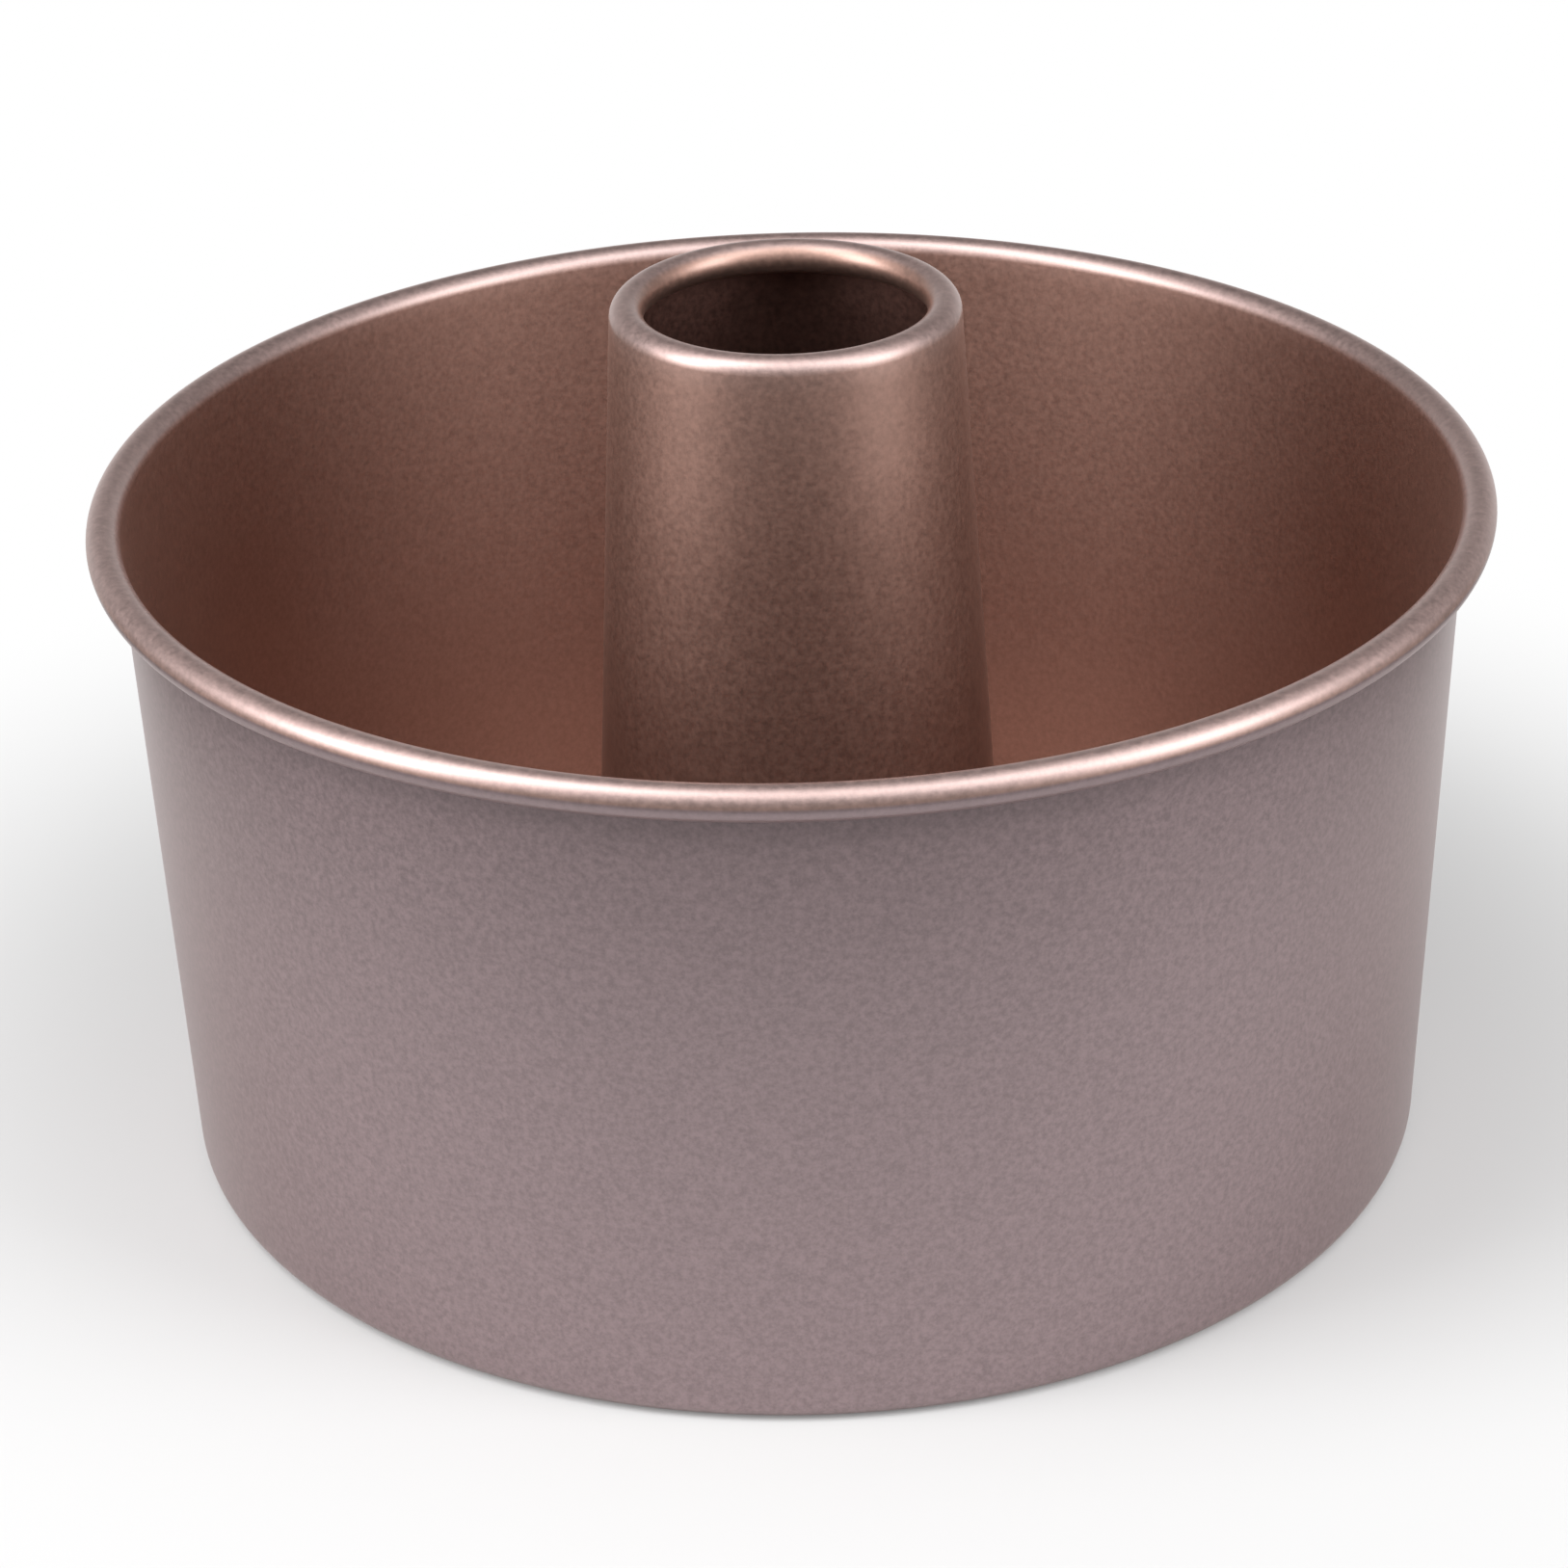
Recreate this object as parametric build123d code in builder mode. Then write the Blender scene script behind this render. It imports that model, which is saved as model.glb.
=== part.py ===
from build123d import *
import os
from math import asin, atan2, cos, hypot, radians, sin, tan

# Angel food cake pan in two halves: a round tapered pan wall, and a loose insert of base plate and centre tube.
# Millimetres, +Z up. The origin is the centre of the ring that the pan stands on, at table level.
# Every piece but the wire is formed from sheet steel, so its profile is a centre line given the sheet's
# thickness and turned about the axis. A profile point is (radius, height).

# Pan wall
wall_sheet = 0.6
rim_diameter = 212.6
pan_height = 106.0
wall_taper = 2.4
corner_radius = 2.8
ledge_width = 9.4

# Rolled rim and the wire inside it
wire_diameter = 3.6
wire_clearance = 0.2
rim_turn = 306

# Base plate
plate_sheet = 0.6
plate_edge_clearance = 0.3
ledge_hole_clearance = 0.4
table_clearance = 0.2
step_run = 1.2
land_width = 3.0
land_slope_run = 2.4

# Centre tube
tube_sheet = 0.6
tube_height = 134.6
tube_top_diameter = 52.8
tube_foot_diameter = 67.2
tube_bead = 5.2
tube_turn = 300

# Joint between tube and plate: a flange below the plate and a swaged ring above it
flange_width = 5.0
flange_recess = 0.4
flange_bend = 0.6
plate_hole_clearance = 0.1
swage_depth = 1.4
swage_half_height = 1.4
swage_bend = 0.8
swage_clearance = 0.1

# Pan wall: the ledge, the bottom corner, the tapered wall and the outward roll at its top
rim_bead = wire_diameter + 2 * (wire_clearance + wall_sheet)
rim_radius = rim_diameter / 2
roll_radius = (rim_bead - wall_sheet) / 2
roll_centre = (rim_radius - rim_bead / 2, pan_height - rim_bead / 2)
taper = radians(wall_taper)
wall_top = (roll_centre[0] - roll_radius * cos(taper), roll_centre[1] + roll_radius * sin(taper))
ledge_level = wall_sheet / 2
wall_foot = (wall_top[0] - (wall_top[1] - ledge_level) * tan(taper), ledge_level)
ledge_outer = wall_foot[0] + wall_sheet / 2 - corner_radius
ledge_inner = wall_foot[0] - ledge_width

with BuildPart() as pan_wall:
    with BuildSketch(Plane.XZ):
        with BuildLine():
            wall_line = FilletPolyline(
                (ledge_inner, ledge_level), wall_foot, wall_top, radius=corner_radius - wall_sheet / 2
            )
            JernArc(wall_line @ 1, wall_line % 1, roll_radius, -rim_turn)
        trace(line_width=wall_sheet)
    revolve(axis=Axis.Z)
pan_wall.part.label = "pan_wall"

# Rim wire: the hoop that the rim is rolled around
with BuildPart() as rim_wire:
    with BuildSketch(Plane.XZ):
        with Locations(roll_centre):
            Circle(wire_diameter / 2)
    revolve(axis=Axis.Z)
rim_wire.part.label = "rim_wire"

# Levels of the insert, from the table up
ledge_top = wall_sheet
edge_level = ledge_top + plate_sheet / 2
floor_level = table_clearance + plate_sheet / 2
flange_level = table_clearance + flange_recess + tube_sheet / 2
land_level = flange_level + (tube_sheet + plate_sheet) / 2
land_top = land_level + plate_sheet / 2

# Radii of the insert, from the wall in
plate_radius = ledge_outer - plate_edge_clearance
step_radius = ledge_inner - ledge_hole_clearance
foot_radius = tube_foot_diameter / 2
flange_radius = foot_radius + flange_width
land_radius = flange_radius + land_width
hole_radius = foot_radius + flange_bend - tube_sheet / 2 + plate_hole_clearance

# Base plate: an edge that rests on the ledge, a floor dropped into the ledge's hole, a raised land at the tube
with BuildPart() as base_plate:
    with BuildSketch(Plane.XZ):
        with BuildLine():
            Polyline(
                (plate_radius, edge_level),
                (step_radius, edge_level),
                (step_radius - step_run, floor_level),
                (land_radius + land_slope_run, floor_level),
                (land_radius, land_level),
                (hole_radius, land_level),
            )
        trace(line_width=plate_sheet)
    revolve(axis=Axis.Z)
base_plate.part.label = "base_plate"

# Centre tube: flange, swaged ring, and a long taper that runs straight into the inward roll at its top
tube_foot = foot_radius - tube_sheet / 2
swage_level = land_top + swage_clearance
swage_top = swage_level + 2 * swage_half_height
tube_roll = (tube_bead - tube_sheet) / 2
tube_roll_centre = (tube_top_diameter / 2 - tube_bead / 2, tube_height - tube_bead / 2)
narrowing = tube_foot - tube_roll_centre[0]
rise = tube_roll_centre[1] - swage_top
lean = atan2(narrowing, rise) - asin(tube_roll / hypot(narrowing, rise))
roll_start = (tube_roll_centre[0] + tube_roll * cos(lean), tube_roll_centre[1] + tube_roll * sin(lean))

with BuildPart() as centre_tube:
    with BuildSketch(Plane.XZ):
        with BuildLine():
            FilletPolyline(
                (flange_radius, flange_level),
                (tube_foot, flange_level),
                (tube_foot, swage_level),
                radius=flange_bend,
            )
            FilletPolyline(
                (tube_foot, swage_level),
                (tube_foot + swage_depth, swage_level + swage_half_height),
                (tube_foot, swage_top),
                radius=swage_bend,
            )
            tube_line = Line((tube_foot, swage_top), roll_start)
            JernArc(tube_line @ 1, tube_line % 1, tube_roll, tube_turn)
        trace(line_width=tube_sheet)
    revolve(axis=Axis.Z)
centre_tube.part.label = "centre_tube"

os.makedirs("parts", exist_ok=True)
export_step(pan_wall.part, "parts/pan_wall.step")
export_step(rim_wire.part, "parts/rim_wire.step")
export_step(base_plate.part, "parts/base_plate.step")
export_step(centre_tube.part, "parts/centre_tube.step")
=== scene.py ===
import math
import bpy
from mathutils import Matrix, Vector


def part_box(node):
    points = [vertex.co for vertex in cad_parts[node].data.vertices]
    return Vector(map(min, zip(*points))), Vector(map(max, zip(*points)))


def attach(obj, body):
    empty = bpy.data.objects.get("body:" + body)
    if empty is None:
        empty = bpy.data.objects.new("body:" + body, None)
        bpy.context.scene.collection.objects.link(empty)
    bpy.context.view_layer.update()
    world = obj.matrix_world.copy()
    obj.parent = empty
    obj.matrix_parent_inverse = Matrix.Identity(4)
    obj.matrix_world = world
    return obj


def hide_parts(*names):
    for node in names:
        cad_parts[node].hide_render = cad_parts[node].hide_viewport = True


bl_info = {
    "name": "Angel Food Cake Pan",
    "version": (1, 0, 0),
    "blender": (4, 5, 0),
    "location": "3D View > Sidebar > Cake Pan",
    "description": "Builds a loose-bottomed tube cake pan in coated sheet steel, and its stage",
    "category": "Object",
}

import bpy
from bpy.props import FloatProperty, FloatVectorProperty, IntProperty, PointerProperty
from mathutils import Matrix, Vector

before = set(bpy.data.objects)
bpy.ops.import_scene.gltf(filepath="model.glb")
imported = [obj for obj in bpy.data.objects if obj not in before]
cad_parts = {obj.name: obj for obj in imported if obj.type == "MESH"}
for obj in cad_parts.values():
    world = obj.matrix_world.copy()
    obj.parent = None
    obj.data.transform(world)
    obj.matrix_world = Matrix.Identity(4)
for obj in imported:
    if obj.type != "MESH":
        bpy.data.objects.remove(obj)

MM = 0.001
TURN = 2 * math.pi

# Sheet and play on each side of the wire in the rolled rim
WIRE_COVER = 0.8 * MM

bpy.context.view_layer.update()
PAN_LOW, PAN_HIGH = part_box("pan_wall")
WIRE_LOW, WIRE_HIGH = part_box("rim_wire")
PLATE_LOW, PLATE_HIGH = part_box("base_plate")
TUBE_LOW, TUBE_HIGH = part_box("centre_tube")


# Sizes and colours that a user would change

class PanSizes(bpy.types.PropertyGroup):
    sheet: FloatProperty(
        name="Sheet", description="Thickness of the steel sheet",
        default=0.6 * MM, unit="LENGTH", precision=5,
    )
    taper: FloatProperty(
        name="Wall Taper", description="Lean of the pan wall from upright",
        default=math.radians(2.4), subtype="ANGLE",
    )
    corner: FloatProperty(
        name="Corner Radius", description="Outside radius where the wall turns in to the ledge",
        default=2.8 * MM, unit="LENGTH", precision=5,
    )
    ledge: FloatProperty(
        name="Ledge Width", description="Width of the turned-in ring that the base plate rests on",
        default=9.4 * MM, unit="LENGTH", precision=5,
    )
    rim_bead: FloatProperty(
        name="Rim Bead", description="Thickness of the rolled rim",
        default=(WIRE_HIGH.z - WIRE_LOW.z) + 2 * WIRE_COVER, unit="LENGTH", precision=5,
    )
    rim_turn: FloatProperty(
        name="Rim Turn", description="How far round the rim is rolled",
        default=math.radians(306), subtype="ANGLE",
    )
    segments: IntProperty(
        name="Segments", description="Facets round each turned piece",
        default=288,
    )


class InsertSizes(bpy.types.PropertyGroup):
    top_radius: FloatProperty(
        name="Tube Top Radius", description="Outer radius of the tube at its rolled top",
        default=26.4 * MM, unit="LENGTH", precision=5,
    )
    foot_radius: FloatProperty(
        name="Tube Foot Radius", description="Outer radius of the tube at the base plate",
        default=33.6 * MM, unit="LENGTH", precision=5,
    )
    bead: FloatProperty(
        name="Tube Bead", description="Thickness of the roll at the tube's top",
        default=5.2 * MM, unit="LENGTH", precision=5,
    )
    turn: FloatProperty(
        name="Tube Turn", description="How far round the tube's top is rolled",
        default=math.radians(300), subtype="ANGLE",
    )
    swage_depth: FloatProperty(
        name="Swage Depth",
        description="How far the ring above the base plate stands out of the tube",
        default=1.4 * MM, unit="LENGTH", precision=5,
    )
    swage_bend: FloatProperty(
        name="Swage Bend", description="Radius of the ring's crest",
        default=0.8 * MM, unit="LENGTH", precision=5,
    )
    flange_bend: FloatProperty(
        name="Flange Bend", description="Radius of the bend at the tube's flange",
        default=0.6 * MM, unit="LENGTH", precision=5,
    )
    land_width: FloatProperty(
        name="Land Width", description="Width of the raised land outside the tube's flange",
        default=3 * MM, unit="LENGTH", precision=5,
    )
    land_run: FloatProperty(
        name="Land Slope", description="Run of the slope from the land to the plate's floor",
        default=2.4 * MM, unit="LENGTH", precision=5,
    )
    step_run: FloatProperty(
        name="Step Run", description="Run of the step that centres the plate in the ledge",
        default=1.2 * MM, unit="LENGTH", precision=5,
    )
    step_gap: FloatProperty(
        name="Step Gap", description="Play between the plate's step and the ledge's edge",
        default=0.4 * MM, unit="LENGTH", precision=5,
    )
    hole_gap: FloatProperty(
        name="Hole Gap", description="Play between the tube's bend and the plate's hole",
        default=0.1 * MM, unit="LENGTH", precision=5,
    )
    press_bend: FloatProperty(
        name="Press Bend", description="Radius of the soft bends pressed into the plate",
        default=1.2 * MM, unit="LENGTH", precision=5,
    )


class CoatingLook(bpy.types.PropertyGroup):
    outside: FloatVectorProperty(
        name="Outside Colour", description="Mauve champagne on the outer wall and the undersides",
        subtype="COLOR", size=3, min=0, max=1, default=(0.302, 0.223, 0.230),
    )
    inside: FloatVectorProperty(
        name="Inside Colour", description="Copper champagne on the cake side",
        subtype="COLOR", size=3, min=0, max=1, default=(0.425, 0.262, 0.212),
    )
    # Paler colour laid over the tops of the rim's and the tube's beads: a painted highlight
    rolled: FloatVectorProperty(
        name="Rolled Rim Colour",
        description="Paler champagne where the rim's roll stretches the sheet",
        subtype="COLOR", size=3, min=0, max=1, default=(0.47, 0.34, 0.318),
    )
    # A darker copper inside the tube: partly its thin brown coat, partly painted shade in the bore
    bore: FloatVectorProperty(
        name="Bore Colour", description="Thin brown coat inside the tube",
        subtype="COLOR", size=3, min=0, max=1, default=(0.25, 0.13, 0.105),
    )
    roughness: FloatProperty(
        name="Roughness", description="Mean roughness of the flake layer",
        default=0.5, subtype="FACTOR",
    )
    flake: FloatProperty(
        name="Flake Size", description="Mean size of the coating's grain",
        default=0.95 * MM, unit="LENGTH", precision=5,
    )
    flake_share: FloatProperty(
        name="Flake Contrast", description="Brightness share between dark and bright grains",
        default=0.38, subtype="FACTOR",
    )
    inside_share: FloatProperty(
        name="Inside Contrast",
        description="Share of the grain's contrast that the smoother cake side shows",
        default=0.6, subtype="FACTOR",
    )
    ripple: FloatProperty(
        name="Ripple Height", description="Height of the coating's orange peel",
        default=0.004 * MM, unit="LENGTH", precision=6,
    )
    coat: FloatProperty(
        name="Clear Coat", description="Weight of the clear top layer",
        default=0.75, subtype="FACTOR",
    )
    coat_roughness: FloatProperty(
        name="Coat Roughness", description="Roughness of the clear top layer",
        default=0.28, subtype="FACTOR",
    )
    coat_ior: FloatProperty(
        name="Coat IOR", description="Index of refraction of the clear top layer",
        default=1.6,
    )
    edge: FloatVectorProperty(
        name="Edge Tint", description="Tint of the flake layer where it is seen at a low angle",
        subtype="COLOR", size=3, min=0, max=1, default=(0.75, 0.6, 0.55),
    )


class StageLook(bpy.types.PropertyGroup):
    lens: FloatProperty(
        name="Lens", description="Focal length in millimetres",
        default=104.449,
    )
    distance: FloatProperty(
        name="Distance", description="From the camera to its aim",
        default=0.716797, unit="LENGTH",
    )
    aim_height: FloatProperty(
        name="Aim Height", description="Height of the aim",
        default=0.047835, unit="LENGTH",
    )
    elevation: FloatProperty(
        name="Elevation", description="Camera above the horizon",
        default=math.radians(27.55035), subtype="ANGLE",
    )
    yaw: FloatProperty(
        name="Yaw", description="Turn off the aim",
        default=math.radians(0.17473), subtype="ANGLE",
    )
    pitch: FloatProperty(
        name="Pitch", description="Tilt off the aim",
        default=math.radians(0.36028), subtype="ANGLE",
    )
    roll: FloatProperty(
        name="Roll", description="Roll of the picture",
        default=math.radians(1.50449), subtype="ANGLE",
    )
    backdrop: FloatVectorProperty(
        name="Backdrop", description="Colour of floor and background",
        subtype="COLOR", size=3, min=0, max=1, default=(1.0, 1.0, 1.0),
    )
    fill: FloatProperty(
        name="Fill", description="Strength of the even light all round",
        default=0.3,
    )
    front_tone: FloatProperty(
        name="Front Tone", description="How bright gloss sees the room on the camera's side",
        default=0.3,
    )
    top_tone: FloatProperty(
        name="Top Tone", description="How bright gloss sees the ceiling",
        default=0.15,
    )
    floor_radius: FloatProperty(
        name="Floor Radius", description="Radius of the round pale floor",
        default=0.235, unit="LENGTH",
    )
    floor_glow: FloatProperty(
        name="Floor Glow",
        description="Share of the floor's white that shadows don't reach beside the pan",
        default=0.15, subtype="FACTOR",
    )
    # Darker floor colour beside the pan that fades to white outward: a painted shadow
    shade: FloatVectorProperty(
        name="Floor Shade", description="Colour of the shaded floor beside the pan",
        subtype="COLOR", size=3, min=0, max=1, default=(0.55, 0.55, 0.55),
    )
    light: FloatProperty(
        name="Light", description="Factor on the power of all panels",
        default=1.3,
    )


# Soft panels of the stage: bearing from the front and height above the horizon in degrees,
# side in metres, and power in watts
PANELS = {
    "left_side": (-65, 14, 0.45, 1.4),
    "left_low": (-68, 30, 0.45, 2.9),
    "left_high": (-60, 52, 0.45, 1.95),
    "right_side": (60, 10, 0.45, 1.15),
    "right_low": (63, 30, 0.45, 2.5),
    "right_high": (60, 52, 0.45, 1.1),
    "front_high": (30, 52, 0.45, 0.4),
    "top_left": (-35, 68, 0.22, 0.4),
    "top_edge": (-70, 68, 0.22, 0.45),
    "top_right": (35, 68, 0.22, 0.3),
    "overhead": (0, 70, 1.0, 2.7),
}

# From the middle of the pan to each panel, in metres
PANEL_DISTANCE = 0.9

# The floor lies this much below the pan, so that no two faces share a level
FLOOR_DROP = 0.05 * MM
FLOOR_STEPS = 96
FLOOR_MATTE = (0.8, 0.8, 0.8)
WHITE = (1, 1, 1)

# Directions in which the room turns white behind the pan, and the height that is all ceiling
BACK_FROM, BACK_TO = 0.65, 0.8
CEILING_FROM, CEILING_TO = 0, 0.6

SENSOR_WIDTH = 36
CLIP_REACH = 100


# Profiles: lists of (radius, height) points along the middle of the sheet

# Longest step and fewest steps round an arc
ARC_STEP = math.radians(9)
FEWEST_STEPS = 2

# Bend below which a corner stays as it is
STRAIGHT = math.radians(0.1)

# Least cosine that a mitre is worked out with
LEAST_MITRE = 0.2

# Shortest step kept along a line, as a share of the sheet's thickness
LEAST_STEP = 0.02

COLOUR_LAYER = "coating_colour"


def arc_points(centre, radius, start, sweep):
    """Points round the centre from the start angle to the end of the sweep."""
    steps = max(FEWEST_STEPS, math.ceil(abs(sweep) / ARC_STEP))
    angles = [start + sweep * k / steps for k in range(steps + 1)]
    return [(centre[0] + radius * math.cos(a), centre[1] + radius * math.sin(a)) for a in angles]


def rounded(points, radii):
    """The polyline through points, with an arc of each radius at the corners between its ends."""
    line = [points[0]]
    for before, corner, after, radius in zip(points, points[1:], points[2:], radii):
        here = Vector(corner)
        back = (Vector(before) - here).normalized()
        ahead = (Vector(after) - here).normalized()
        opening = back.angle(ahead)
        if radius <= 0 or math.pi - opening < STRAIGHT:
            line.append(corner)
            continue
        reach = radius / math.tan(opening / 2)
        centre = here + (back + ahead).normalized() * (radius / math.sin(opening / 2))
        first, last = here + back * reach - centre, here + ahead * reach - centre
        start = math.atan2(first.y, first.x)
        sweep = first.angle_signed(last)
        line += arc_points(centre, radius, start, -sweep)
    return line + [points[-1]]


def rolled_end(line, radius, turn):
    """Adds a roll that leaves the line along its own direction. A positive turn curls inward."""
    end = Vector(line[-1])
    along = (end - Vector(line[-2])).normalized()
    side = math.copysign(1, turn)
    centre = end + Vector((-along.y, along.x)) * radius * side
    start = math.atan2(end.y - centre.y, end.x - centre.x)
    return line + arc_points(centre, radius, start, turn)[1:]


def offset_line(line, distance):
    """The line moved sideways, to its left for a positive distance, with its corners mitred."""
    moved = []
    for k, point in enumerate(line):
        here = Vector(point)
        before = (here - Vector(line[k - 1])).normalized() if k else None
        after = (Vector(line[k + 1]) - here).normalized() if k + 1 < len(line) else None
        before, after = before or after, after or before
        normal = Vector((-before.y - after.y, before.x + after.x)).normalized()
        mitre = distance / max(LEAST_MITRE, normal.dot(Vector((-before.y, before.x))))
        moved.append(tuple(here + normal * mitre))
    return moved


def thinned(line, least):
    """The line without points closer together than least."""
    kept = [line[0]]
    for point in line[1:]:
        if (Vector(point) - Vector(kept[-1])).length > least:
            kept.append(point)
    return kept


def sheet_outline(line, thickness):
    """The closed outline of a sheet along the line, with rounded edges, and a mark for each point.

    The mark is 1 on the left face, 0 on the right face and 0.5 round the edges.
    """
    line = thinned(line, thickness * LEAST_STEP)
    left, right = offset_line(line, thickness / 2), offset_line(line, -thickness / 2)
    ends = []
    for tip, beside in ((line[-1], left[-1]), (line[0], right[0])):
        spoke = Vector(beside) - Vector(tip)
        start = math.atan2(spoke.y, spoke.x)
        ends.append(arc_points(tip, thickness / 2, start, -math.pi)[1:-1])
    outline = left + ends[0] + right[::-1] + ends[1]
    on_left = [1] * len(left) + [0.5] * len(ends[0]) + [0] * len(right) + [0.5] * len(ends[1])
    return outline, on_left


def long_runs_split(outline, marks, longest):
    """Cuts long straight stretches, so that the turned mesh has even faces."""
    points, values = [], []
    for k, point in enumerate(outline):
        follower = outline[(k + 1) % len(outline)]
        value, next_value = marks[k], marks[(k + 1) % len(outline)]
        pieces = max(1, math.ceil((Vector(follower) - Vector(point)).length / longest))
        for j in range(pieces):
            share = j / pieces
            points.append(tuple(Vector(point).lerp(Vector(follower), share)))
            values.append(value + (next_value - value) * share)
    return points, values


def turned_piece(name, outline, colours, segments):
    """A mesh object of the closed outline turned about the Z axis.

    Each point of the outline has a colour, whose fourth value is the share of grain that it shows.
    """
    count = len(outline)
    verts, faces = [], []
    for k in range(segments):
        angle = TURN * k / segments
        verts += [(r * math.cos(angle), r * math.sin(angle), z) for r, z in outline]
    for k in range(segments):
        here, ahead = k * count, (k + 1) % segments * count
        for j in range(count):
            i = (j + 1) % count
            faces.append((here + j, here + i, ahead + i, ahead + j))
    mesh = bpy.data.meshes.new(name)
    mesh.from_pydata(verts, [], faces)
    flat = [value for colour in colours for value in colour]
    layer = mesh.attributes.new(COLOUR_LAYER, "FLOAT_COLOR", "POINT")
    layer.data.foreach_set("color", flat * segments)
    mesh.shade_smooth()
    mesh.update()
    piece = bpy.data.objects.new(name, mesh)
    bpy.context.scene.collection.objects.link(piece)
    return piece


# Pressed shapes, each worked out from the frame and the sizes

# Longest face along a straight stretch of sheet
LONGEST_FACE = 3 * MM

# How far down from the rim the outside's colour is darkened, a painted shade under the rim, and its
# brightness there
PAINTED_SHADE_REACH = 7 * MM
PAINTED_SHADE_SHARE = 0.72

# Shares of a bead's thickness: the run over which its top turns pale, a painted highlight,
# and the start and run of the copper at its inner lip
PAINTED_HIGHLIGHT_RUN = 1 / 4
LIP_START, LIP_RUN = 3 / 4, 1 / 8


def pan_wall_line(sizes):
    """From the ledge's inner edge up the wall and round the rolled rim."""
    rim_radius = max(PAN_HIGH.x, PAN_HIGH.y)
    roll = (sizes.rim_bead - sizes.sheet) / 2
    centre = (rim_radius - sizes.rim_bead / 2, PAN_HIGH.z - sizes.rim_bead / 2)
    top = (centre[0] - roll * math.cos(sizes.taper), centre[1] + roll * math.sin(sizes.taper))
    level = PAN_LOW.z + sizes.sheet / 2
    foot = (top[0] - (top[1] - level) * math.tan(sizes.taper), level)
    line = rounded([(foot[0] - sizes.ledge, level), foot, top], [sizes.corner - sizes.sheet / 2])
    return rolled_end(line, roll, -sizes.rim_turn)


def insert_levels(sheet):
    """Heights of the flange's, the land's, the floor's and the edge's middle."""
    flange = TUBE_LOW.z + sheet / 2
    return flange, flange + sheet, PLATE_LOW.z + sheet / 2, PLATE_HIGH.z - sheet / 2


def centre_tube_line(sizes, sheet):
    """From the end of the roll at the top down the tube to the flange's edge."""
    flange_level, land_level, _, _ = insert_levels(sheet)
    flange_radius = max(TUBE_HIGH.x, TUBE_HIGH.y)
    foot = sizes.foot_radius - sheet / 2
    swage_low = land_level + sheet / 2 + sizes.hole_gap
    roll = (sizes.bead - sheet) / 2
    centre = (sizes.top_radius - sizes.bead / 2, TUBE_HIGH.z - sizes.bead / 2)
    swage_top = swage_low + 2 * sizes.swage_depth
    narrowing, rise = foot - centre[0], centre[1] - swage_top
    lean = math.atan2(narrowing, rise) - math.asin(roll / math.hypot(narrowing, rise))
    soft = sizes.swage_bend / 2
    line = rounded(
        [
            (flange_radius, flange_level),
            (foot, flange_level),
            (foot, swage_low),
            (foot + sizes.swage_depth, swage_low + sizes.swage_depth),
            (foot, swage_top),
            (centre[0] + roll * math.cos(lean), centre[1] + roll * math.sin(lean)),
        ],
        [sizes.flange_bend, soft / 2, sizes.swage_bend, soft],
    )
    return rolled_end(line, roll, sizes.turn)[::-1]


def base_plate_line(sizes, pan):
    """From the hole for the tube out to the plate's edge."""
    sheet = pan.sheet
    _, land_level, floor_level, edge_level = insert_levels(sheet)
    edge = max(PLATE_HIGH.x, PLATE_HIGH.y)
    ledge_inner = pan_wall_line(pan)[0][0]
    step = ledge_inner - sizes.step_gap
    land = max(TUBE_HIGH.x, TUBE_HIGH.y) + sizes.land_width
    hole = sizes.foot_radius + sizes.flange_bend - sheet / 2 + sizes.hole_gap
    points = [
        (hole, land_level),
        (land, land_level),
        (land + sizes.land_run, floor_level),
        (step - sizes.step_run, floor_level),
        (step, edge_level),
        (edge, edge_level),
    ]
    return rounded(points, [sizes.press_bend] * 4)


def faded(colour, other, share):
    """The colour moved toward the other by the share, which is held between 0 and 1."""
    return Vector(colour).lerp(Vector(other), min(1, max(0, share)))


def rim_tint(sizes, look):
    """Changes the coating at the rim.

    It turns paler over the top, a painted highlight, is sprayed with the outside's colour below,
    and is darker under the rim, a painted shade.
    """
    middle_radius = PAN_HIGH.x - sizes.rim_bead / 2
    middle_height = PAN_HIGH.z - sizes.rim_bead / 2
    painted_shade_from = PAN_HIGH.z - sizes.rim_bead - PAINTED_SHADE_REACH

    def tint(radius, height, colour):
        if radius > middle_radius and height < middle_height:
            return Vector(look.outside)
        # Painted shade: the outer wall darkens toward the underside of the rim
        if colour == Vector(look.outside):
            return faded(colour, colour * PAINTED_SHADE_SHARE, (height - painted_shade_from) / PAINTED_SHADE_REACH)
        # Painted highlight: the top of the rim's bead turns to the paler colour
        return faded(colour, look.rolled, (height - middle_height) / (sizes.rim_bead * PAINTED_HIGHLIGHT_RUN))

    return tint


def bead_tint(sizes, look):
    """Changes the coating over the tube's bead.

    It turns paler over the top, a painted highlight, and copper again at the inner lip.
    """
    lip_radius = sizes.top_radius - sizes.bead * LIP_START
    middle_height = TUBE_HIGH.z - sizes.bead / 2

    def tint(radius, height, colour):
        # Painted highlight: the top of the tube's bead turns to the paler colour
        over = faded(colour, look.rolled, (height - middle_height) / (sizes.bead * PAINTED_HIGHLIGHT_RUN))
        if height < middle_height:
            return over
        return faded(over, look.inside, (lip_radius - radius) / (sizes.bead * LIP_RUN))

    return tint


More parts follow.
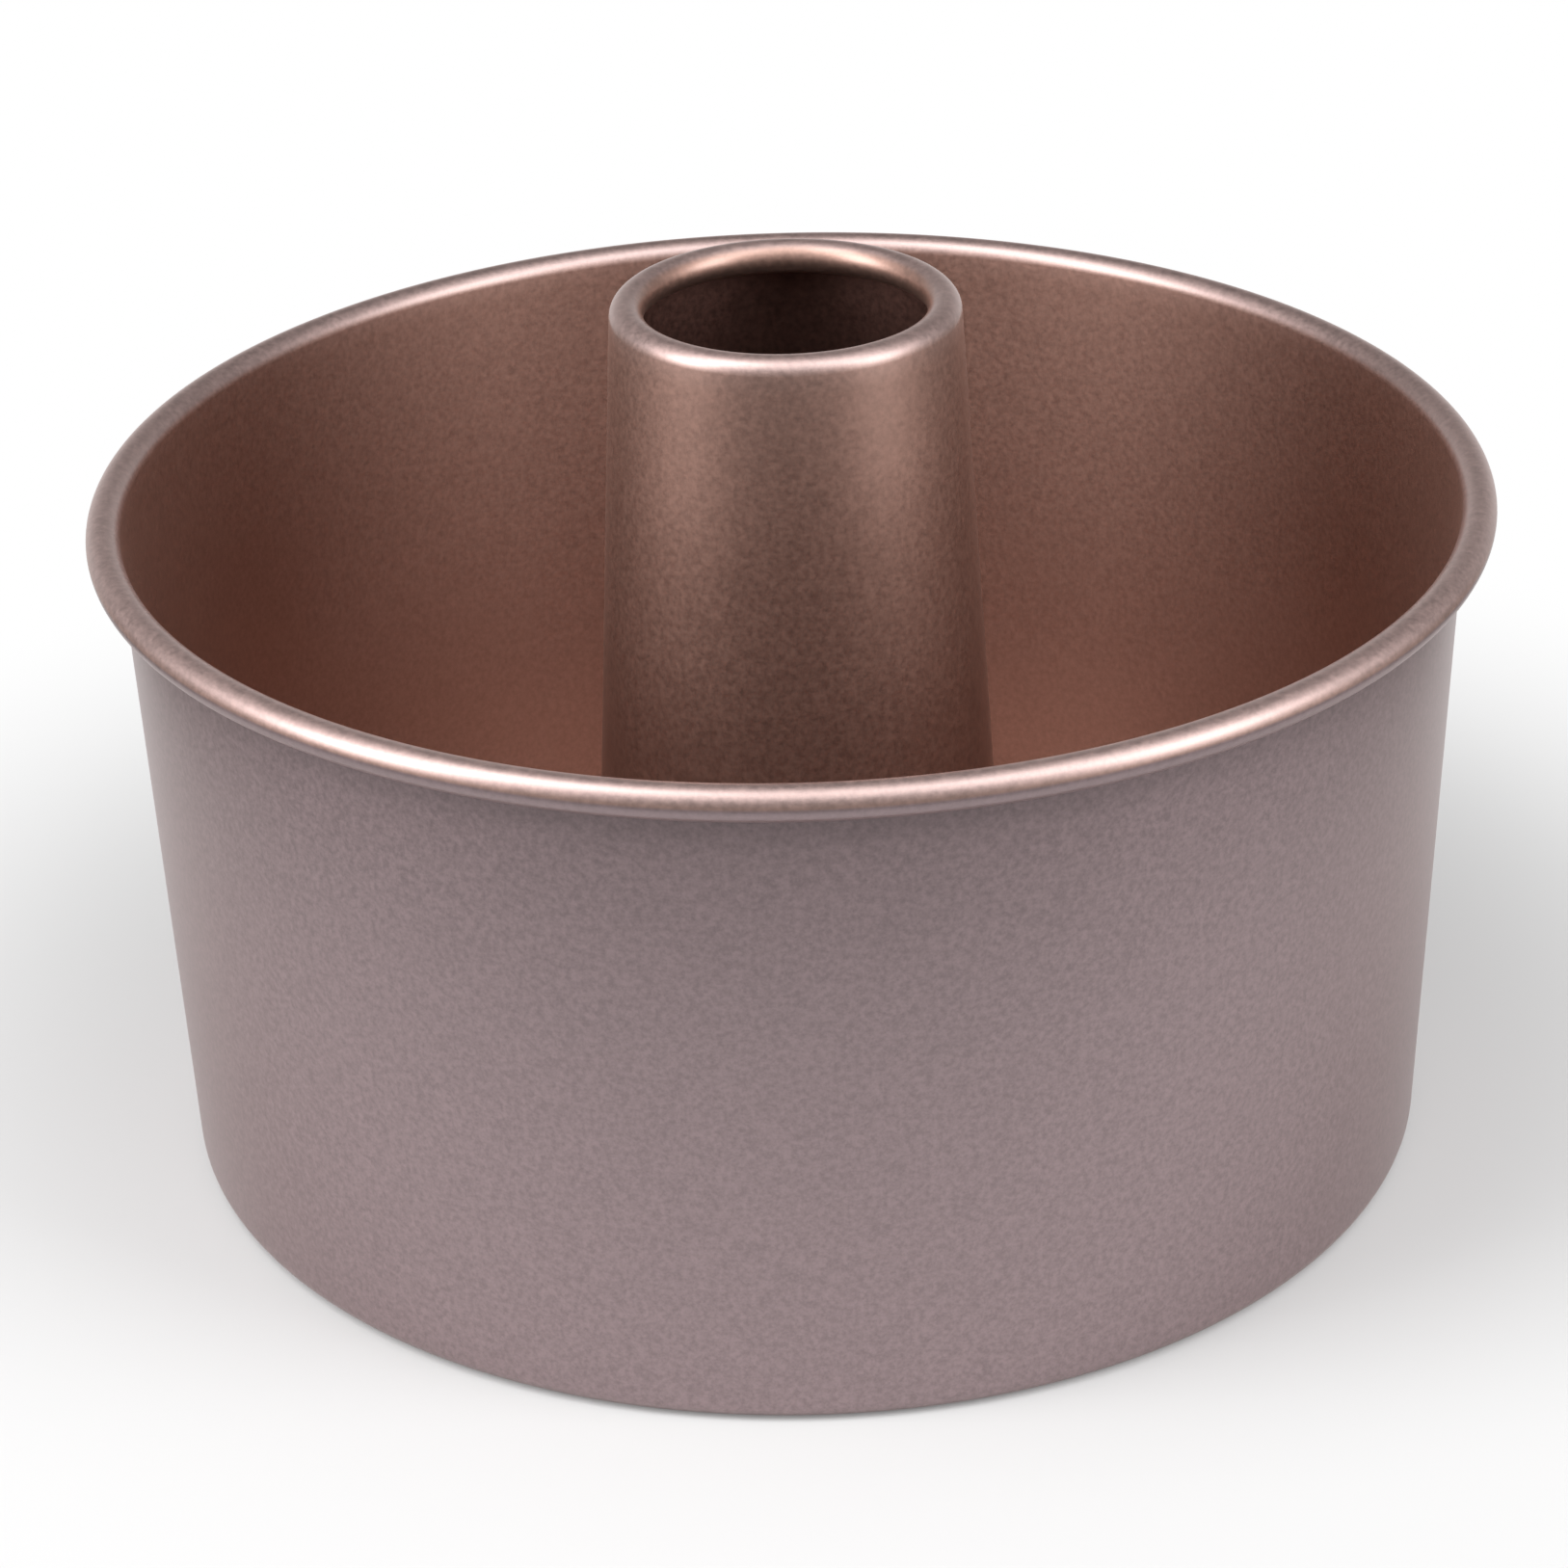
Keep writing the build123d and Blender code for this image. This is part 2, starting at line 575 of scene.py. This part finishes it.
def make_shell(name, line, body, left_colour, right_colour, tint=None):
    """A turned sheet in the colours of its left and right faces, which a tint changes in places."""
    scene = bpy.context.scene
    sizes, smooth = scene.pan_sizes, scene.pan_coating.inside_share
    outline, on_left = sheet_outline(line, sizes.sheet)
    outline, on_left = long_runs_split(outline, on_left, LONGEST_FACE)
    colours = []
    for (radius, height), share in zip(outline, on_left):
        colour = Vector(right_colour).lerp(Vector(left_colour), share)
        colour = tint(radius, height, colour) if tint else colour
        colours.append((*colour, 1 + (smooth - 1) * share))
    piece = turned_piece(name, outline, colours, sizes.segments)
    piece.data.materials.append(coating())
    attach(piece, body)
    return piece


# Finishes

# Useful span of the noise's values, and the form of its grain
NOISE_LOW, NOISE_HIGH = 0.3, 0.7
GRAIN_DETAIL = 2
GRAIN_ROUGHNESS = 0.7

# How far the grain moves the coating's roughness each way
GLOSS_SPREAD = 0.04

WIRE_STEEL = (0.52, 0.52, 0.54)
WIRE_GRAIN = 900
WIRE_SMOOTH, WIRE_ROUGH = 0.25, 0.5


def new_material(name):
    """A material and its empty node tree."""
    material = bpy.data.materials.new(name)
    material.use_nodes = True
    material.node_tree.nodes.clear()
    return material, material.node_tree


def add_node(tree, kind, **settings):
    node = tree.nodes.new(kind)
    for key, value in settings.items():
        setattr(node, key, value)
    return node


def coloured(tree, kind, colour):
    """A shader node of the kind in the colour."""
    node = add_node(tree, kind)
    node.inputs["Color"].default_value = (*colour, 1)
    return node


def ranged(tree, value, low, high, to_low=0, to_high=1, **settings):
    """The value, with the span from low to high laid on the span from to_low to to_high."""
    node = add_node(tree, "ShaderNodeMapRange", **settings)
    ends = {"From Min": low, "From Max": high, "To Min": to_low, "To Max": to_high}
    for key, end in ends.items():
        node.inputs[key].default_value = end
    tree.links.new(value, node.inputs["Value"])
    return node.outputs["Result"]


def put_out(tree, shader, kind="ShaderNodeOutputMaterial"):
    tree.links.new(shader, add_node(tree, kind).inputs["Surface"])


def coating():
    """Satin champagne non-stick coating: a broad layer of metal flake below a clear top layer."""
    found = bpy.data.materials.get("champagne_coating")
    if found:
        return found
    look = bpy.context.scene.pan_coating
    material, tree = new_material("champagne_coating")
    link = tree.links.new
    place = add_node(tree, "ShaderNodeTexCoord")
    colour = add_node(tree, "ShaderNodeAttribute", attribute_name=COLOUR_LAYER)
    noise = add_node(tree, "ShaderNodeTexNoise")
    noise.inputs["Scale"].default_value = 1 / look.flake
    noise.inputs["Detail"].default_value = GRAIN_DETAIL
    noise.inputs["Roughness"].default_value = GRAIN_ROUGHNESS
    link(place.outputs["Object"], noise.inputs["Vector"])
    grain = noise.outputs["Fac"]

    half = look.flake_share / 2
    shade = add_node(tree, "ShaderNodeMath", operation="MULTIPLY_ADD")
    link(ranged(tree, grain, NOISE_LOW, NOISE_HIGH, -half, half), shade.inputs[0])
    link(colour.outputs["Alpha"], shade.inputs[1])
    shade.inputs[2].default_value = 1
    flaked = add_node(tree, "ShaderNodeVectorMath", operation="SCALE")
    link(colour.outputs["Color"], flaked.inputs[0])
    link(shade.outputs[0], flaked.inputs["Scale"])

    peel = add_node(tree, "ShaderNodeBump")
    peel.inputs["Distance"].default_value = look.ripple
    link(grain, peel.inputs["Height"])

    smooth, rough = look.roughness - GLOSS_SPREAD, look.roughness + GLOSS_SPREAD
    gloss = ranged(tree, grain, NOISE_LOW, NOISE_HIGH, smooth, rough)
    skin = add_node(tree, "ShaderNodeBsdfPrincipled")
    skin.inputs["Metallic"].default_value = 1
    skin.inputs["Specular Tint"].default_value = (*look.edge, 1)
    skin.inputs["Coat Weight"].default_value = look.coat
    skin.inputs["Coat Roughness"].default_value = look.coat_roughness
    skin.inputs["Coat IOR"].default_value = look.coat_ior
    link(flaked.outputs["Vector"], skin.inputs["Base Color"])
    link(gloss, skin.inputs["Roughness"])
    link(peel.outputs["Normal"], skin.inputs["Normal"])
    put_out(tree, skin.outputs["BSDF"])
    return material


def drawn_wire():
    """Bare drawn steel wire, its gloss broken by a fine grain."""
    material, tree = new_material("drawn_wire")
    link = tree.links.new
    place = add_node(tree, "ShaderNodeTexCoord")
    noise = add_node(tree, "ShaderNodeTexNoise")
    noise.inputs["Scale"].default_value = WIRE_GRAIN
    link(place.outputs["Object"], noise.inputs["Vector"])
    gloss = ranged(tree, noise.outputs["Fac"], 0, 1, WIRE_SMOOTH, WIRE_ROUGH)
    skin = add_node(tree, "ShaderNodeBsdfPrincipled")
    skin.inputs["Metallic"].default_value = 1
    skin.inputs["Base Color"].default_value = (*WIRE_STEEL, 1)
    link(gloss, skin.inputs["Roughness"])
    put_out(tree, skin.outputs["BSDF"])
    return material


# Operators: one for each piece and one for the stage

class BAKE_OT_pan_wall(bpy.types.Operator):
    """Builds the tapered pan wall with its rolled rim and turned-in ledge"""

    bl_idname = "bake.pan_wall"
    bl_label = "Pan Wall"

    def execute(self, context):
        sizes, look = context.scene.pan_sizes, context.scene.pan_coating
        line, tint = pan_wall_line(sizes), rim_tint(sizes, look)
        piece = make_shell("pan_shell", line, "pan", look.inside, look.outside, tint)
        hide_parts("pan_wall")
        return {"FINISHED"}


class BAKE_OT_rim_wire(bpy.types.Operator):
    """Finishes the steel hoop inside the rolled rim"""

    bl_idname = "bake.rim_wire"
    bl_label = "Rim Wire"

    def execute(self, context):
        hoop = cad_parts["rim_wire"]
        hoop.data.materials.clear()
        hoop.data.materials.append(drawn_wire())
        return {"FINISHED"}


class BAKE_OT_base_plate(bpy.types.Operator):
    """Builds the loose base plate with its step and raised land"""

    bl_idname = "bake.base_plate"
    bl_label = "Base Plate"

    def execute(self, context):
        scene = context.scene
        look = scene.pan_coating
        line = base_plate_line(scene.insert_sizes, scene.pan_sizes)
        piece = make_shell("loose_base", line, "insert", look.inside, look.outside)
        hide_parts("base_plate")
        return {"FINISHED"}


class BAKE_OT_centre_tube(bpy.types.Operator):
    """Builds the open centre tube with its rolled top and flanged foot"""

    bl_idname = "bake.centre_tube"
    bl_label = "Centre Tube"

    def execute(self, context):
        scene = context.scene
        look = scene.pan_coating
        line = centre_tube_line(scene.insert_sizes, scene.pan_sizes.sheet)
        tint = bead_tint(scene.insert_sizes, look)
        # The bore side takes the darker bore colour, partly painted shade
        piece = make_shell("tube_shell", line, "insert", look.inside, look.bore, tint)
        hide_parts("centre_tube")
        return {"FINISHED"}


def seen_ray(tree):
    """A value of 1 for the rays that show the surroundings: camera, gloss and transmission."""
    path = add_node(tree, "ShaderNodeLightPath")
    first = add_node(tree, "ShaderNodeMath", operation="MAXIMUM")
    tree.links.new(path.outputs["Is Camera Ray"], first.inputs[0])
    tree.links.new(path.outputs["Is Glossy Ray"], first.inputs[1])
    second = add_node(tree, "ShaderNodeMath", operation="MAXIMUM")
    tree.links.new(first.outputs[0], second.inputs[0])
    tree.links.new(path.outputs["Is Transmission Ray"], second.inputs[1])
    return path, second.outputs[0]


def mixed(tree, factor, first, second):
    """The first shader at a factor of 0, and the second at 1."""
    node = add_node(tree, "ShaderNodeMixShader")
    tree.links.new(factor, node.inputs[0])
    tree.links.new(first, node.inputs[1])
    tree.links.new(second, node.inputs[2])
    return node.outputs[0]


def aim(thing, place, target):
    """Puts the thing at the place, facing the target."""
    thing.location = place
    thing.rotation_mode = "QUATERNION"
    thing.rotation_quaternion = (Vector(target) - Vector(place)).to_track_quat("-Z", "Y")


class BAKE_OT_stage(bpy.types.Operator):
    """Sets the pale floor, the soft lights and the camera"""

    bl_idname = "bake.stage"
    bl_label = "Stage"

    def execute(self, context):
        scene = context.scene
        look = scene.pan_stage
        self.world(scene, look)
        self.floor(scene, look)
        for name, (bearing, height, side, power) in PANELS.items():
            self.panel(scene, name, bearing, height, side, power * look.light)
        self.camera(scene, look)
        scene.view_settings.view_transform = "Standard"
        return {"FINISHED"}

    def world(self, scene, look):
        """White to the camera, and an even fill to what it lights.

        Gloss sees a room that is brightest behind the pan.
        """
        world = bpy.data.worlds.new("even_light")
        scene.world = world
        world.use_nodes = True
        world.cycles.sampling_method = "NONE"
        tree = world.node_tree
        tree.nodes.clear()
        link = tree.links.new
        way = add_node(tree, "ShaderNodeTexCoord")
        split = add_node(tree, "ShaderNodeSeparateXYZ")
        link(way.outputs["Generated"], split.inputs[0])
        depth = ranged(tree, split.outputs["Y"], BACK_FROM, BACK_TO, to_low=look.front_tone)
        height = ranged(tree, split.outputs["Z"], CEILING_FROM, CEILING_TO)
        tone = add_node(tree, "ShaderNodeMix", data_type="FLOAT")
        link(height, tone.inputs[0])
        link(depth, tone.inputs[2])
        tone.inputs[3].default_value = look.top_tone

        even = coloured(tree, "ShaderNodeBackground", WHITE)
        even.inputs["Strength"].default_value = look.fill
        room = coloured(tree, "ShaderNodeBackground", look.backdrop)
        link(tone.outputs[0], room.inputs["Strength"])
        white = coloured(tree, "ShaderNodeBackground", look.backdrop)
        path, seen = seen_ray(tree)
        lit = mixed(tree, seen, even.outputs[0], room.outputs[0])
        shown = mixed(tree, path.outputs["Is Camera Ray"], lit, white.outputs[0])
        put_out(tree, shown, "ShaderNodeOutputWorld")

    def floor(self, scene, look):
        """A round pale floor that keeps the pan's soft shadow, with a painted shadow beside the
        pan, plain where the pan covers it.
        """
        under = pan_wall_line(scene.pan_sizes)[0][0]
        level = PAN_LOW.z - FLOOR_DROP
        count = FLOOR_STEPS
        turns = [TURN * k / count for k in range(count)]
        verts = []
        for radius in (under, look.floor_radius):
            verts += [(radius * math.cos(turn), radius * math.sin(turn), level) for turn in turns]
        faces = [list(range(count))]
        faces += [(k, k + count, (k + 1) % count + count, (k + 1) % count) for k in range(count)]
        mesh = bpy.data.meshes.new("floor")
        mesh.from_pydata(verts, [], faces)
        floor = bpy.data.objects.new("floor", mesh)
        scene.collection.objects.link(floor)
        mesh.materials.append(self.covered_floor())
        mesh.materials.append(self.open_floor(look))
        for face in list(mesh.polygons)[1:]:
            face.material_index = 1

    def covered_floor(self):
        material, tree = new_material("covered_floor")
        put_out(tree, coloured(tree, "ShaderNodeBsdfDiffuse", FLOOR_MATTE).outputs[0])
        return material

    def open_floor(self, look):
        """Matte to the light. To the camera and gloss it shows the pan's shadow on a darker shade
        colour beside the pan, a painted shadow, fading to white at the edge.
        """
        material, tree = new_material("pale_floor")
        matte = coloured(tree, "ShaderNodeBsdfDiffuse", FLOOR_MATTE)
        soft = coloured(tree, "ShaderNodeBsdfDiffuse", look.shade)
        glow = coloured(tree, "ShaderNodeEmission", look.backdrop)
        place = add_node(tree, "ShaderNodeTexCoord")
        far = add_node(tree, "ShaderNodeVectorMath", operation="LENGTH")
        tree.links.new(place.outputs["Object"], far.inputs[0])
        # Painted shadow: from the pan's rim out to the floor's edge, the shade colour gives way to
        # white
        share = ranged(
            tree, far.outputs["Value"], PAN_HIGH.x, look.floor_radius, to_low=look.floor_glow,
            interpolation_type="SMOOTHSTEP",
        )
        pale = mixed(tree, share, soft.outputs[0], glow.outputs[0])
        _, seen = seen_ray(tree)
        put_out(tree, mixed(tree, seen, matte.outputs[0], pale))
        material.cycles.emission_sampling = "NONE"
        return material

    def panel(self, scene, name, bearing, height, side, power):
        lamp = bpy.data.lights.new(name + "_panel", "AREA")
        lamp.shape = "SQUARE"
        lamp.size = side
        lamp.energy = power
        holder = bpy.data.objects.new(name + "_panel", lamp)
        scene.collection.objects.link(holder)
        turn, rise = math.radians(bearing), math.radians(height)
        centre = Vector((0, 0, PAN_HIGH.z / 2))
        level = math.cos(rise)
        way = Vector((math.sin(turn) * level, -math.cos(turn) * level, math.sin(rise)))
        aim(holder, centre + way * PANEL_DISTANCE, centre)

    def camera(self, scene, look):
        data = bpy.data.cameras.new("photo_view")
        data.lens = look.lens
        data.sensor_width = SENSOR_WIDTH
        holder = bpy.data.objects.new("photo_view", data)
        scene.collection.objects.link(holder)
        rise = look.elevation
        away = Vector((0, -math.cos(rise), math.sin(rise)))
        holder.location = Vector((0, 0, look.aim_height)) + away * look.distance
        upright = Matrix.Rotation(math.pi / 2 - rise, 3, "X")
        own = (
            Matrix.Rotation(look.yaw, 3, "Y")
            @ Matrix.Rotation(look.pitch, 3, "X")
            @ Matrix.Rotation(-look.roll, 3, "Z")
        )
        holder.rotation_mode = "QUATERNION"
        holder.rotation_quaternion = (upright @ own).to_quaternion()
        data.clip_start = look.distance / CLIP_REACH
        data.clip_end = look.distance * CLIP_REACH
        scene.camera = holder


class BAKE_PT_pan(bpy.types.Panel):
    """Lists the pan's pieces and its stage"""

    bl_idname = "BAKE_PT_pan"
    bl_label = "Cake Pan"
    bl_space_type = "VIEW_3D"
    bl_region_type = "UI"
    bl_category = "Cake Pan"

    def draw(self, context):
        for step in STEPS:
            self.layout.operator(step.bl_idname)


STEPS = (BAKE_OT_pan_wall, BAKE_OT_rim_wire, BAKE_OT_base_plate, BAKE_OT_centre_tube, BAKE_OT_stage)
SETTINGS = {
    "pan_sizes": PanSizes,
    "insert_sizes": InsertSizes,
    "pan_coating": CoatingLook,
    "pan_stage": StageLook,
}
CLASSES = (*SETTINGS.values(), *STEPS, BAKE_PT_pan)


def register():
    for each in CLASSES:
        bpy.utils.register_class(each)
    for name, group in SETTINGS.items():
        setattr(bpy.types.Scene, name, PointerProperty(type=group))


def unregister():
    for name in SETTINGS:
        delattr(bpy.types.Scene, name)
    for each in reversed(CLASSES):
        bpy.utils.unregister_class(each)


def main():
    register()
    bpy.ops.bake.pan_wall()
    bpy.ops.bake.rim_wire()
    bpy.ops.bake.base_plate()
    bpy.ops.bake.centre_tube()
    bpy.ops.bake.stage()


if __name__ == "__main__":
    main()
